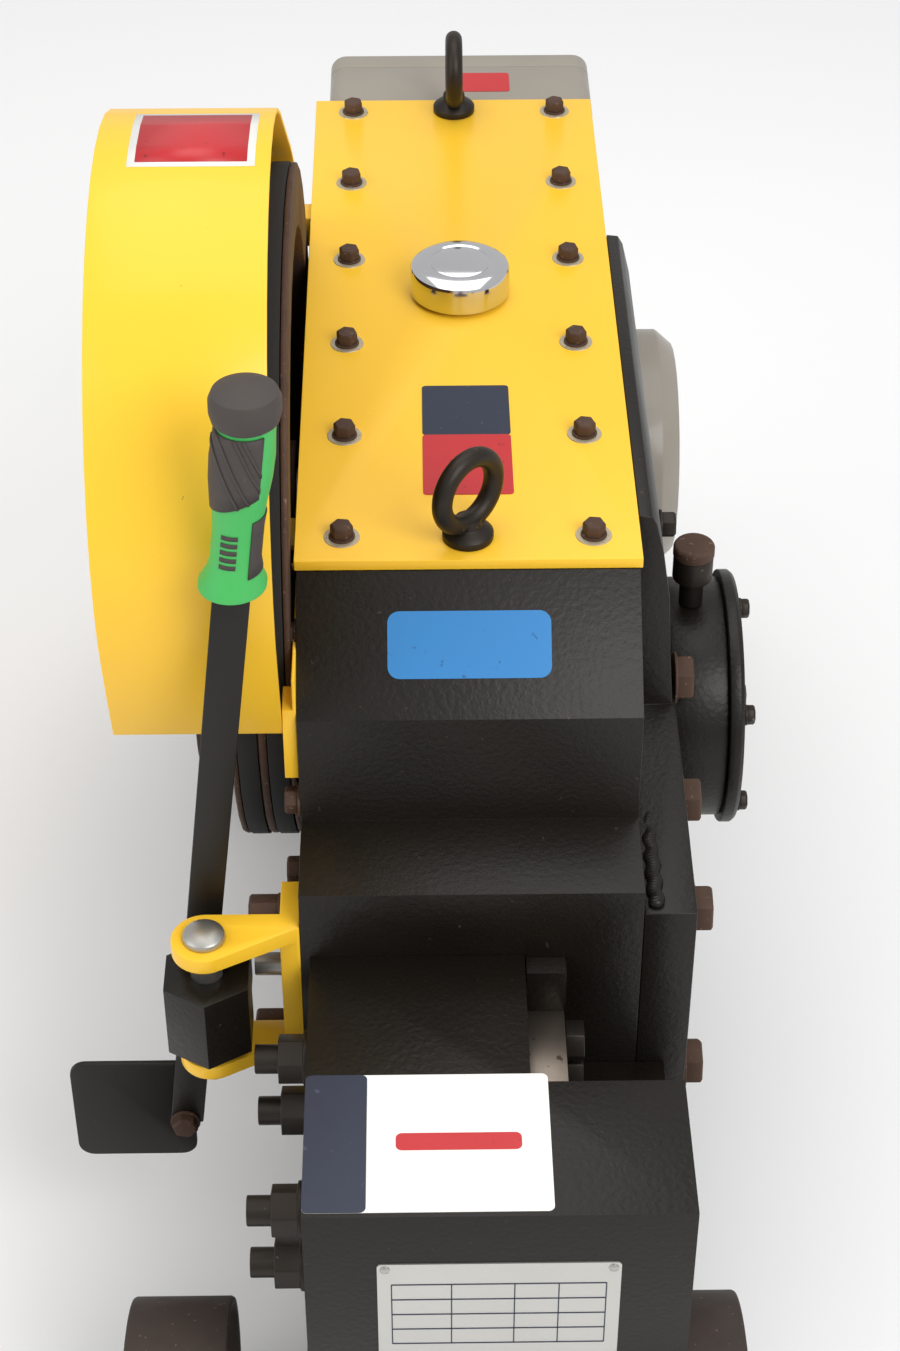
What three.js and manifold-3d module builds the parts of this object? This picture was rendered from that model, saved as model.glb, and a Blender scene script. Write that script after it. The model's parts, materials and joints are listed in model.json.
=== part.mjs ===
// Electric rebar cutter: geared body, belt drive, sliding cutter jaw, clutch lever, four wheels.
// Millimetres. X runs to the right, Y to the rear, Z up; the jaw is at the front.
// Inside the file Y = 0 is the cover plate's front edge and X = 0 its centre line.
import * as THREE from "three";
import { mergeVertices } from "three/addons/utils/BufferGeometryUtils.js";
import Module from "manifold-3d";

const GAP = 0.3; // between touching pieces
const RUN = 0.4; // radial clearance of a turning shaft

// Cover plate and gear housing
const COVER = { halfWidth: 117.5, length: 655, thick: 8, top: 600 };
const WALL = 14;
const HOUSING = {
  halfWidth: 116, front: -150, bottom: 136.3, shelf: 434, rear: 655, step: 430, rearFloor: 382,
};
HOUSING.top = COVER.top - COVER.thick - GAP;
const NOSE = { y: -76, z: 524 }; // lower edge of the sloping front
const FILLER = { x: 0, y: 340 };

// Shaft centres in the Y-Z plane; the countershaft is found from the gear centre distances
const FLYWHEEL_AXIS = { y: 208, z: 501, r: 25 };
const CRANK_AXIS = { y: 150, z: 354, r: 35 };
const COUNTER_R = 22;
const FAST = { module: 4, pinion: 17, wheel: 50, x0: 52, x1: 82 };
const SLOW = { module: 6, pinion: 14, wheel: 40, x0: -96, x1: -46 };
const THROW = 23;
const MOTOR = { y: 640, z: 248, r: 110, x0: -95, x1: 143 };

// Cutting head and ram
const HEAD = { x0: -110, x1: 136, y0: -375, y1: HOUSING.front - GAP, bottom: 184, top: 377 };
const SHEAR_X = 37;
const RAM = { x0: -36, x1: 64, y0: -190, y1: -40, z0: 270, z1: 374, step: 336, shoulder: -165 };
const BLADE = { width: 26, length: 80, z0: 277, z1: 337 };
const MOVING_EDGE = -232;
const FIXED_EDGE = -275;
const BLADE_BOLT = { y: -178, heights: [321, 292], shank: 8, length: 56, flats: 26, head: 13 };
const STUD = { r: 10, end: -80, places: [[-200, 330], [-200, 278], [-330, 330], [-330, 278]] };

// Crank bearing on the right side: housing barrel, end cover and grease cup
const SIDE_PLATE = { bottom: 205, outer: 152, frontTop: 414, top: 429, bend: 51 };
const BARREL = { r: 92, x1: 195, bore: CRANK_AXIS.r + RUN };
const END_COVER = { r: 97.5, thick: 12, chamfer: 3 };
const GREASE_CUP = { x: 170, neck: 9, r: 15, flare: 466, bowl: 470, top: 490, cap: 10 };

// Running gear
const WHEEL = { r: 90, width: 70, left: -238, right: 114, front: -325, rear: 512, axle: 15 };
const RAIL = { x: [-116, 56], width: 40, z0: 76, z1: HOUSING.bottom - GAP, web: 7, y0: -375 };
RAIL.y1 = 745;

// Belt drive and its guard
const GROOVES = [-153, -132];
const GROOVE = { half: 7.5, depth: 12 };
const RIM = { x0: -165, x1: -120, inner: 204, web: [-150, -140] };
const HUB = { r: 45, end: -124 };
const PULLEY_R = 54;
const FLYWHEEL_R = 250;
const SIDES = { flywheel: 36, pulley: 24 };
const GUARD = { x0: -240, x1: -126, sheet: 3, front: { y: 116, z: 635, r: 213 }, wheel: 264, pulley: 64 };
const MOTOR_SHAFT_R = 14;

// Top fittings
const NECK = { r: 30, bore: 24, height: 12 };
const CAP = { r: 38, bore: 34, skirt: 3, roof: 15, height: 30 };
const EYE = { ring: 25, wire: 7, collar: 17.5, rise: 38, places: [26, 635] };

// Control box behind the housing
const BOX = { x0: -107, x1: 120, y0: COVER.length + GAP, y1: 724, z0: 438, z1: 596 };
BOX.wall = 4;
BOX.corner = 14;
BOX.lid = 22;
const BUTTON = { z: 540, r: 10, end: 36 };
const BUTTONS = [{ name: "start_button", x: -22, cap: 11 }, { name: "stop_button", x: 36, cap: 17 }];

// Clutch lever and the plunger it pushes
const BRACKET = { thick: 13.7, rear: -104, bottom: 259, tip: 22.5 };
const EARS = [[288, 300], [392, 404]];
BRACKET.top = EARS[1][1];
const PIN = { x: -180, y: -158, r: 11 };
const LEVER = { lean: 0.118, z: 410, y0: -124.2, thick: 8, width: 24, foot: 180, top: 690 };
const PLUNGER = { y: -120, z: 340, r: 8, x0: -150, x1: -82 };

const wasm = await Module();
wasm.setup();

// ---------- materials ----------
const finish = (color, roughness, metalness) =>
  new THREE.MeshStandardMaterial({ color, roughness, metalness });
const yellowPaint = finish(0xf2c83c, 0.4, 0);
const blackPaint = finish(0x23201c, 0.38, 0.1);
const rustySteel = finish(0x55382a, 0.75, 0.5);
const darkSteel = finish(0x2e2a27, 0.5, 0.7);
const brightSteel = finish(0xb5b2ac, 0.3, 0.9);
const toolSteel = finish(0x6f6458, 0.45, 0.8);
const chrome = finish(0xd8d8da, 0.12, 1);
const greyPaint = finish(0x8c867c, 0.5, 0);
const greenRubber = finish(0x46b45a, 0.6, 0);
const beltRubber = finish(0x1c1b1a, 0.85, 0);
const greenPlastic = finish(0x2f9d4a, 0.4, 0);
const redPlastic = finish(0xc62a22, 0.4, 0);
const bronze = finish(0xa8763c, 0.45, 0.8);

// ---------- solids ----------
// Weld a closed geometry into a solid whose faces point outwards.
function toSolid(geometry) {
  const bare = new THREE.BufferGeometry();
  const loose = geometry.index ? geometry.toNonIndexed() : geometry;
  bare.setAttribute("position", loose.getAttribute("position"));
  const welded = mergeVertices(bare, 1e-4);
  const faces = [];
  for (let i = 0; i < welded.index.count; i += 3) {
    const [a, b, c] = [0, 1, 2].map((k) => welded.index.getX(i + k));
    if (a !== b && b !== c && c !== a) faces.push([a, b, c]);
  }
  const build = (list) =>
    new wasm.Manifold(
      new wasm.Mesh({
        numProp: 3,
        vertProperties: welded.attributes.position.array,
        triVerts: Uint32Array.from(list.flat()),
      }),
    );
  const solid = build(faces);
  return solid.volume() > 0 ? solid : build(faces.map(([a, b, c]) => [a, c, b]));
}

function toGeometry(solid) {
  const mesh = solid.getMesh();
  const indexed = new THREE.BufferGeometry();
  const points = new Float32Array(mesh.numVert * 3);
  for (let i = 0; i < mesh.numVert; i++) {
    points.set(mesh.vertProperties.subarray(i * mesh.numProp, i * mesh.numProp + 3), i * 3);
  }
  indexed.setAttribute("position", new THREE.BufferAttribute(points, 3));
  indexed.setIndex(new THREE.BufferAttribute(mesh.triVerts, 1));
  const geometry = indexed.toNonIndexed();
  geometry.computeVertexNormals();
  return geometry;
}

const join = (...pieces) => toGeometry(pieces.map(toSolid).reduce((a, b) => a.add(b)));
const cut = (body, ...tools) =>
  toGeometry(tools.map(toSolid).reduce((rest, tool) => rest.subtract(tool), toSolid(body)));

// ---------- basic shapes ----------
function box(x0, x1, y0, y1, z0, z1) {
  const geometry = new THREE.BoxGeometry(x1 - x0, y1 - y0, z1 - z0);
  return geometry.translate((x0 + x1) / 2, (y0 + y1) / 2, (z0 + z1) / 2);
}

const outline = (points) => new THREE.Shape(points.map(([u, v]) => new THREE.Vector2(u, v)));
const AXES = {
  x: new THREE.Matrix4().set(0, 0, 1, 0, 1, 0, 0, 0, 0, 1, 0, 0, 0, 0, 0, 1),
  y: new THREE.Matrix4().set(0, 1, 0, 0, 0, 0, 1, 0, 1, 0, 0, 0, 0, 0, 0, 1),
  z: new THREE.Matrix4(),
};

// Extrude an outline along an axis. The outline's plane is (y,z), (z,x) or (x,y).
function prism(axis, shape, from, to, curveSegments = 12) {
  const flat = Array.isArray(shape) ? outline(shape) : shape;
  const options = { depth: to - from, bevelEnabled: false, curveSegments };
  return new THREE.ExtrudeGeometry(flat, options).translate(0, 0, from).applyMatrix4(AXES[axis]);
}

// Round bar along an axis; (u, v) is its centre in the outline's plane.
function bar(axis, u, v, r, from, to, sides = 24) {
  const ring = [];
  for (let i = 0; i < sides; i++) {
    const a = (2 * Math.PI * i) / sides;
    ring.push([u + r * Math.cos(a), v + r * Math.sin(a)]);
  }
  return prism(axis, ring, from, to);
}

// Turned piece: profile points [radius, along], closed on itself, about an axis through (u, v).
function turned(axis, u, v, profile, sides = 32) {
  const points = profile.map(([r, along]) => new THREE.Vector2(r, along));
  points.push(points[0].clone());
  const geometry = new THREE.LatheGeometry(points, sides);
  geometry.applyMatrix4(new THREE.Matrix4().makeRotationX(Math.PI / 2));
  return geometry.translate(u, v, 0).applyMatrix4(AXES[axis]);
}

function hexagon(u, v, acrossFlats, turn = 0) {
  const points = [];
  for (let i = 0; i < 6; i++) {
    const a = turn + (Math.PI * i) / 3;
    const r = acrossFlats / Math.sqrt(3);
    points.push([u + r * Math.cos(a), v + r * Math.sin(a)]);
  }
  return points;
}

// ---------- gears ----------
const PRESSURE = (20 * Math.PI) / 180;
const BACKLASH = 0.7;
const involute = (a) => Math.tan(a) - a;

// Spur gear outline with a tooth centred at the angle `phase`.
function gearOutline(centre, module, teeth, phase) {
  const pitch = (module * teeth) / 2;
  const base = pitch * Math.cos(PRESSURE);
  const tip = pitch + 0.9 * module;
  const root = pitch - 1.25 * module;
  const half = Math.PI / (2 * teeth) - BACKLASH / (4 * pitch) + involute(PRESSURE);
  const angleAt = (r) => half - involute(Math.acos(Math.min(1, base / r)));
  const flank = [
    [root, angleAt(Math.max(base, root))],
    [pitch, angleAt(pitch)],
    [tip, angleAt(tip)],
  ];
  const points = [];
  for (let i = 0; i < teeth; i++) {
    const mid = phase + (2 * Math.PI * i) / teeth;
    const side = (sign) => ([r, a]) => [
      centre.y + r * Math.cos(mid + sign * a),
      centre.z + r * Math.sin(mid + sign * a),
    ];
    points.push(...flank.map(side(-1)), ...[...flank].reverse().map(side(1)));
  }
  return points;
}

const spread = (pair) => (pair.module * (pair.pinion + pair.wheel)) / 2;

// Point behind the two given centres at the given distances from them.
function meet(a, b, ra, rb) {
  const d = Math.hypot(b.y - a.y, b.z - a.z);
  const along = (ra * ra - rb * rb + d * d) / (2 * d);
  const off = Math.sqrt(ra * ra - along * along);
  const u = { y: (b.y - a.y) / d, z: (b.z - a.z) / d };
  return { y: a.y + along * u.y - off * u.z, z: a.z + along * u.z + off * u.y };
}
const COUNTER_AXIS = meet(FLYWHEEL_AXIS, CRANK_AXIS, spread(FAST), spread(SLOW));

const bearing = (from, to) => Math.atan2(to.z - from.z, to.y - from.y);
// Phase of a wheel that meshes with a pinion whose tooth points along the line of centres.
const meshPhase = (line, teeth) => line + Math.PI + Math.PI / teeth;

// ---------- the machine ----------
const machine = new THREE.Group();
function place(name, geometry, material) {
  const mesh = new THREE.Mesh(toGeometry(toSolid(geometry)), material);
  mesh.name = name;
  machine.add(mesh);
}

function gearHousing() {
  const { halfWidth: w, front, bottom, shelf, rear, step, rearFloor, top } = HOUSING;
  const outside = [
    [front, bottom], [step, bottom], [step, rearFloor], [rear, rearFloor], [rear, top],
    [0, top], [NOSE.y, NOSE.z], [NOSE.y, shelf], [front, shelf],
  ];
  const inside = [
    [front + WALL, bottom + WALL], [step - WALL, bottom + WALL], [step - WALL, rearFloor + WALL],
    [rear - WALL, rearFloor + WALL], [rear - WALL, top + 1], [WALL, top + 1], [WALL, top - 8],
    [NOSE.y + WALL, NOSE.z - 5], [NOSE.y + WALL, shelf - WALL], [front + WALL, shelf - WALL],
  ];
  const through = w + 1;
  return cut(
    prism("x", outside, -w, w),
    prism("x", inside, -w + WALL, w - WALL),
    prism("y", ramSection(RUN), front - 1, front + WALL + 1),
    bar("x", FLYWHEEL_AXIS.y, FLYWHEEL_AXIS.z, FLYWHEEL_AXIS.r + RUN, -through, through),
    bar("x", COUNTER_AXIS.y, COUNTER_AXIS.z, COUNTER_R + RUN, -through, through),
    bar("x", CRANK_AXIS.y, CRANK_AXIS.z, CRANK_AXIS.r + RUN, -through, through, 32),
    bar("x", PLUNGER.y, PLUNGER.z, PLUNGER.r + RUN, -through, 0, 16),
  );
}

function topCover() {
  const { halfWidth: w, length, thick, top } = COVER;
  const plate = box(-w, w, 0, length, top - thick, top);
  const { r, bore, height } = NECK;
  const neck = bar("z", FILLER.x, FILLER.y, r, top - thick, top + height, 28);
  const hole = bar("z", FILLER.x, FILLER.y, bore, top - thick - 1, top + height + 1, 28);
  return cut(join(plate, neck), hole);
}

function oilCap() {
  const { r, bore, skirt, roof, height } = CAP;
  const crown = [[r, height - 8], [r - 2, height - 5], [r - 10, height - 2], [16, height], [0, height]];
  const profile = [[0, roof], [bore, roof], [bore, skirt], [r, skirt], ...crown].map(
    ([radius, above]) => [radius, COVER.top + above],
  );
  return turned("z", FILLER.x, FILLER.y, profile, 28);
}

function eyeBolt(y, turn) {
  const z = COVER.top + GAP;
  const { ring: r, wire, collar: wide, rise } = EYE;
  const collar = [[0, z], [wide, z], [wide, z + 8], [9, z + 13], [0, z + 13]];
  const ring = new THREE.TorusGeometry(r, wire, 8, 20).rotateX(Math.PI / 2).rotateZ(turn);
  ring.translate(0, y, z + rise);
  return join(turned("z", 0, y, collar, 20), ring);
}

function sidePlate() {
  const x0 = HOUSING.halfWidth + GAP;
  const rear = HOUSING.step;
  const { bottom, outer, frontTop, top, bend } = SIDE_PLATE;
  const plate = [
    [HOUSING.front, bottom], [rear, bottom], [rear, top], [bend, top], [HOUSING.front, frontTop],
  ];
  // Upper cheek, which leans in from the plate to the cover
  const cheek = [
    [425, x0], [425, 150], [476, 146], [525, 143], [565, 137], [590, 131], [597, 127],
    [598, 118], [591, 118], [591, x0],
  ];
  return cut(
    join(prism("x", plate, x0, outer), prism("y", cheek, bend, rear)),
    bar("x", CRANK_AXIS.y, CRANK_AXIS.z, BARREL.bore, x0 - 1, outer + 1, 32),
  );
}

function bearingCovers() {
  const { y, z } = CRANK_AXIS;
  const { r, x1, bore } = BARREL;
  const seat = SIDE_PLATE.outer + GAP;
  const barrel = [[bore, seat], [r, seat], [r, x1], [bore, x1]];
  place("crank_bearing_housing_right", turned("x", y, z, barrel, 40), blackPaint);
  const { r: rim, thick, chamfer } = END_COVER;
  const face0 = x1 + GAP;
  const face1 = x1 + thick;
  const end = [[0, face0], [rim, face0], [rim, face1 - chamfer], [rim - chamfer, face1], [0, face1]];
  place("crank_end_cover_right", turned("x", y, z, end, 40), blackPaint);
  const face = -HOUSING.halfWidth - GAP;
  const left = [[0, -130], [40, -130], [44, -127], [44, face], [0, face]];
  place("crank_bearing_cover_left", turned("x", y, z, left, 28), blackPaint);
  const counter = [[0, -128], [33, -128], [36, -125], [36, face], [0, face]];
  place("intermediate_cap_left", turned("x", COUNTER_AXIS.y, COUNTER_AXIS.z, counter, 24), blackPaint);
  const hole = FLYWHEEL_AXIS.r + RUN;
  const input = [[hole, -121], [48, -121], [48, face], [hole, face]];
  place("input_bearing_cover_left", turned("x", FLYWHEEL_AXIS.y, FLYWHEEL_AXIS.z, input, 28), blackPaint);
}

// ---------- cutting head, ram and blades ----------
// Stepped ram section, grown all round by a clearance; points are (z, x).
function ramSection(grow) {
  const { x0, x1, z0, z1, step } = RAM;
  return [
    [z0 - grow, x0 - grow], [z0 - grow, x1 + grow], [z1 + grow, x1 + grow],
    [z1 + grow, SHEAR_X - grow], [step + grow, SHEAR_X - grow], [step + grow, x0 - grow],
  ];
}

function frontHead() {
  const { x0, x1, y0, y1, bottom, top } = HEAD;
  const floor = RAM.z0 - 1;
  const right = x1 + 1;
  const stud = ([y, z]) => bar("x", y, z, STUD.r + RUN, x0 - 1, STUD.end + 1, 16);
  return cut(
    box(x0, x1, y0, y1, bottom, top),
    box(SHEAR_X - 1, right, -265, y1 + 1, floor, top + 1),
    box(SHEAR_X - 0.1, right, -285, -264, floor, 344),
    box(RAM.x0 - 1, SHEAR_X, FIXED_EDGE, y1 + 1, floor, RAM.step + 2),
    box(x0 - 1, RAM.x0, FIXED_EDGE, MOVING_EDGE, BLADE.z0, BLADE.z1),
    box(SHEAR_X - BLADE.width - 2 * GAP, SHEAR_X, FIXED_EDGE - BLADE.length - GAP, FIXED_EDGE + 1,
      BLADE.z0 - GAP, BLADE.z1 + GAP),
    ...STUD.places.map(stud),
  );
}

function fixedBlade() {
  const inner = SHEAR_X - GAP;
  return box(inner - BLADE.width, inner, FIXED_EDGE - BLADE.length, FIXED_EDGE, BLADE.z0, BLADE.z1);
}

const bladeBoltHole = (z) =>
  bar("x", BLADE_BOLT.y, z, BLADE_BOLT.shank + RUN, 5, RAM.x1 + 1, 16);

function ram() {
  const { x1, y0, y1, z0, z1, step, shoulder } = RAM;
  const seat = SHEAR_X - 0.1;
  return cut(
    prism("y", ramSection(0), y0, y1),
    box(seat, x1 + 1, y0 - 1, shoulder, step + 0.5, z1 + 1),
    box(seat, x1 + 1, y0 - 1, MOVING_EDGE + BLADE.length + GAP, z0 - 1, BLADE.z1 + GAP),
    ...BLADE_BOLT.heights.map(bladeBoltHole),
  );
}

function movingBlade() {
  const inner = SHEAR_X + GAP;
  const block = box(inner, inner + BLADE.width, MOVING_EDGE, MOVING_EDGE + BLADE.length,
    BLADE.z0, BLADE.z1);
  return cut(block, ...BLADE_BOLT.heights.map(bladeBoltHole));
}

function bladeBolt(z) {
  const { y, shank, length, flats, head } = BLADE_BOLT;
  const seat = SHEAR_X + BLADE.width + 2 * GAP;
  return join(
    bar("x", y, z, shank, seat - length, seat + 1, 16),
    prism("x", hexagon(y, z, flats), seat, seat + head),
  );
}

function ramGuide() {
  const y0 = HOUSING.front + WALL + GAP;
  return cut(
    box(-60, 90, y0, RAM.y1, HOUSING.bottom + WALL + GAP, 396),
    prism("y", ramSection(RUN), y0 - 1, RAM.y1 + 1),
  );
}

// Stud with its nut and washer, screwed into the left side of the head.
function headStud([y, z]) {
  const wall = HEAD.x0 - GAP;
  return join(
    bar("x", y, z, STUD.r, wall - 37, STUD.end, 16),
    bar("x", y, z, 19, wall - 4, wall, 24),
    prism("x", hexagon(y, z, 30, Math.PI / 6), wall - 21, wall - 3),
  );
}

// ---------- gear train ----------
const LINE_FAST = bearing(FLYWHEEL_AXIS, COUNTER_AXIS);
const LINE_SLOW = bearing(COUNTER_AXIS, CRANK_AXIS);
const gear = (axis, pair, teeth, phase) =>
  prism("x", gearOutline(axis, pair.module, teeth, phase), pair.x0, pair.x1);
const shaft = (axis, r, x0, x1, sides = 24) => bar("x", axis.y, axis.z, r, x0, x1, sides);

function gearTrain() {
  const counter = { ...COUNTER_AXIS, r: COUNTER_R };
  place("input_shaft", join(
    shaft(FLYWHEEL_AXIS, FLYWHEEL_AXIS.r, -175, 112),
    gear(FLYWHEEL_AXIS, FAST, FAST.pinion, LINE_FAST),
  ), toolSteel);
  place("intermediate_shaft", join(
    shaft(counter, COUNTER_R, -112, 112),
    gear(counter, SLOW, SLOW.pinion, LINE_SLOW),
  ), toolSteel);
  place("intermediate_gear", cut(
    gear(counter, FAST, FAST.wheel, meshPhase(LINE_FAST, FAST.wheel)),
    shaft(counter, COUNTER_R + GAP, 0, 99),
  ), toolSteel);
  place("crank_gear", cut(
    gear(CRANK_AXIS, SLOW, SLOW.wheel, meshPhase(LINE_SLOW, SLOW.wheel)),
    shaft(CRANK_AXIS, CRANK_AXIS.r + GAP, -99, 0, 32),
  ), toolSteel);
  const eccentric = { y: CRANK_AXIS.y + THROW, z: CRANK_AXIS.z };
  place("crankshaft", join(
    shaft(CRANK_AXIS, CRANK_AXIS.r, -112, BARREL.x1 - 3, 32),
    shaft(eccentric, 60, -20, 48, 40),
  ), toolSteel);
  const arm = [[8, 283], [140, 282], [110, 402], [8, 323]];
  place("connecting_rod", cut(
    join(shaft(eccentric, 80, -16, 44, 40), prism("x", arm, -16, 44)),
    shaft(eccentric, 61, -17, 45, 40),
  ), darkSteel);
}

// ---------- belt drive ----------
// Grooved rim profile from the left side to the right one.
const grooves = (r) =>
  GROOVES.flatMap((x) => [
    [r, x - GROOVE.half], [r - GROOVE.depth, x - GROOVE.half],
    [r - GROOVE.depth, x + GROOVE.half], [r, x + GROOVE.half],
  ]);

function flywheel() {
  const { x0, x1, inner, web } = RIM;
  const bore = FLYWHEEL_AXIS.r + GAP;
  const profile = [
    [bore, x0], [HUB.r, x0], [HUB.r, web[0]], [inner, web[0]], [inner, x0], [FLYWHEEL_R, x0],
    ...grooves(FLYWHEEL_R), [FLYWHEEL_R, x1], [inner, x1], [inner, web[1]], [HUB.r, web[1]],
    [HUB.r, HUB.end], [bore, HUB.end],
  ];
  return turned("x", FLYWHEEL_AXIS.y, FLYWHEEL_AXIS.z, profile, SIDES.flywheel);
}

function motorPulley() {
  const { x0, x1 } = RIM;
  const bore = MOTOR_SHAFT_R + GAP;
  const profile = [[bore, x0], [PULLEY_R, x0], ...grooves(PULLEY_R), [PULLEY_R, x1], [bore, x1]];
  return turned("x", MOTOR.y, MOTOR.z, profile, SIDES.pulley);
}

// Closed band round the two pulleys at a given distance inside their rims. The flats of the band
// keep that distance, so a pulley's corners pass them at every angle.
const beltPath = (inset) =>
  hull([
    { ...FLYWHEEL_AXIS, r: flatRadius(FLYWHEEL_R - inset, SIDES.flywheel), sides: SIDES.flywheel },
    { ...MOTOR, r: flatRadius(PULLEY_R - inset, SIDES.pulley), sides: SIDES.pulley },
  ]);

// Corner radius of a regular polygon whose flats lie at radius r.
const flatRadius = (r, sides) => r / Math.cos(Math.PI / sides);

// Outline of the tight loop round a set of circles, anticlockwise.
function hull(circles) {
  const cloud = circles.flatMap(({ y, z, r, sides }) =>
    Array.from({ length: sides }, (_, i) => {
      const a = (2 * Math.PI * i) / sides;
      return [y + r * Math.cos(a), z + r * Math.sin(a)];
    }),
  );
  cloud.sort((p, q) => p[0] - q[0] || p[1] - q[1]);
  const turn = (o, p, q) => (p[0] - o[0]) * (q[1] - o[1]) - (p[1] - o[1]) * (q[0] - o[0]);
  const chain = (points) => {
    const kept = [];
    for (const p of points) {
      while (kept.length > 1 && turn(kept.at(-2), kept.at(-1), p) <= 1e-6) kept.pop();
      kept.push(p);
    }
    return kept.slice(0, -1);
  };
  return [...chain(cloud), ...chain([...cloud].reverse())];
}

function belt(x) {
  const half = GROOVE.half - 0.5;
  return cut(
    prism("x", beltPath(GAP), x - half, x + half),
    prism("x", beltPath(GROOVE.depth - GAP), x - half - 1, x + half + 1),
  );
}

function beltGuard() {
  const sides = 40;
  const { x0, x1, sheet, front, wheel, pulley } = GUARD;
  const loop = (inset) => hull([
    { ...front, r: front.r - inset, sides },
    { ...FLYWHEEL_AXIS, r: wheel - inset, sides },
    { ...MOTOR, r: pulley - inset, sides },
  ]);
  const { y, z } = FLYWHEEL_AXIS;
  const below = [[-300, -10], [800, -10], [MOTOR.y, 190], [y, z], [-300, 512]];
  return cut(
    prism("x", loop(0), x0, x1),
    prism("x", loop(sheet), x0 + sheet, x1 + 1),
    prism("x", below, x0 - 1, x1 + 2),
  );
}

// Front guard bracket: a block at the guard's edge, a thin strip along the housing that passes the
// flywheel rim, and a lip with a square hole in the flywheel's recess.
function guardBracket(wall) {
  const strip = box(wall - 2.3, wall, -72, 150, 500, 556);
  const block = box(GUARD.x1 + GAP, wall, -72, -46, 470, 530);
  const lip = box(wall - 20, wall, 54, 110, 552, 556);
  return cut(join(strip, block, lip), box(wall - 15.5, wall - 3.5, 57, 77, 550, 558));
}

// ---------- motor ----------
function motor() {
  const { y, z, r, x0, x1 } = MOTOR;
  const fins = 28;
  const skin = [];
  for (let i = 0; i < fins; i++) {
    const a = (2 * Math.PI * i) / fins;
    const at = (radius, turn) => [y + radius * Math.cos(a + turn), z + radius * Math.sin(a + turn)];
    skin.push(at(r - 14, -0.06), at(r, -0.045), at(r, 0.045), at(r - 14, 0.06));
  }
  const floor = HOUSING.bottom;
  const feet = [[y - 88, floor], [y + 88, floor], [y + 88, 150], [y + 45, 175], [y - 45, 175],
    [y - 88, 150]];
  place("motor", cut(
    join(
      prism("x", skin, x0, x1),
      shaft(MOTOR, r - 12, x0 - 14, x0 + 1, 32),
      prism("x", feet, -68, 104),
    ),
    shaft(MOTOR, MOTOR_SHAFT_R + RUN, x0 - 20, x1 + 1),
  ), greyPaint);
  const cowl = [[r, x1 + GAP], [r, x1 + 44], [r - 14, x1 + 60], [14, x1 + 60],
    [14, x1 + 57], [r - 16, x1 + 57], [r - 3, x1 + 42], [r - 3, x1 + GAP]];
  place("motor_fan_cowl", turned("x", y, z, cowl, 28), greyPaint);
  place("motor_shaft", shaft(MOTOR, MOTOR_SHAFT_R, RIM.x0 - 3, x1 + 34), brightSteel);
  const blades = [shaft(MOTOR, 30, x1 + 12, x1 + 30)];
  for (let i = 0; i < 6; i++) {
    const blade = box(x1 + 12, x1 + 34, -3, 3, 20, r - 22).rotateX((Math.PI * i) / 3);
    blades.push(blade.translate(0, y, z));
  }
  place("motor_fan", cut(join(...blades), shaft(MOTOR, MOTOR_SHAFT_R + GAP, x1, x1 + 40)), beltRubber);
  place("motor_terminal_box", cut(
    box(-30, 50, y - 45, y + 45, z + 90, z + 128),
    shaft(MOTOR, r + GAP, -40, 60, 48),
  ), greyPaint);
}

// ---------- controls ----------
function roundedBox(x0, x1, z0, z1, r, y0, y1) {
  const shape = new THREE.Shape();
  shape.moveTo(z0 + r, x0);
  shape.lineTo(z1 - r, x0);
  shape.absarc(z1 - r, x0 + r, r, -Math.PI / 2, 0);
  shape.lineTo(z1, x1 - r);
  shape.absarc(z1 - r, x1 - r, r, 0, Math.PI / 2);
  shape.lineTo(z0 + r, x1);
  shape.absarc(z0 + r, x1 - r, r, Math.PI / 2, Math.PI);
  shape.lineTo(z0, x0 + r);
  shape.absarc(z0 + r, x0 + r, r, Math.PI, 1.5 * Math.PI);
  return prism("y", shape, y0, y1, 4);
}

function controls() {
  const { x0, x1, y0, y1, z0, z1, wall, corner, lid } = BOX;
  place("control_box", cut(
    roundedBox(x0, x1, z0, z1, corner, y0, y1),
    roundedBox(x0 + wall, x1 - wall, z0 + wall, z1 - wall, corner - wall, y0 + wall, y1 + 1),
  ), greyPaint);
  const { z, r, end } = BUTTON;
  const holes = BUTTONS.map(({ x }) => bar("y", z, x, r + GAP, y1, y1 + lid + 1, 24));
  place("control_box_lid", cut(
    roundedBox(x0, x1, z0, z1, corner, y1 + GAP, y1 + lid),
    ...holes,
  ), greyPaint);
  BUTTONS.forEach(({ name, x, cap }, i) => {
    const stem = bar("y", z, x, r, y1 + 2, y1 + lid + 5, 24);
    const head = bar("y", z, x, cap, y1 + lid + 4, y1 + end, 24);
    place(name, join(stem, head), [greenPlastic, redPlastic][i]);
  });
}

// ---------- clutch lever ----------
function leverBracket() {
  const { thick, rear: back, bottom, top, tip } = BRACKET;
  const wall = -HOUSING.halfWidth - GAP;
  const rear = PIN.y + tip;
  const ear = new THREE.Shape();
  ear.moveTo(wall - 2, HOUSING.front);
  ear.lineTo(wall - 2, rear);
  ear.lineTo(PIN.x, rear);
  ear.absarc(PIN.x, PIN.y, tip, Math.PI / 2, (5 / 3) * Math.PI);
  const ears = EARS.map(([z0, z1]) => prism("z", ear, z0, z1));
  return cut(
    join(box(wall - thick, wall, HOUSING.front, back, bottom, top), ...ears),
    bar("z", PIN.x, PIN.y, PIN.r + RUN, 280, 410),
    bar("x", PLUNGER.y, PLUNGER.z, PLUNGER.r + RUN, -140, -100, 16),
  );
}
const leverX = (z) => PIN.x + LEVER.lean * (z - LEVER.z);

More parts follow.
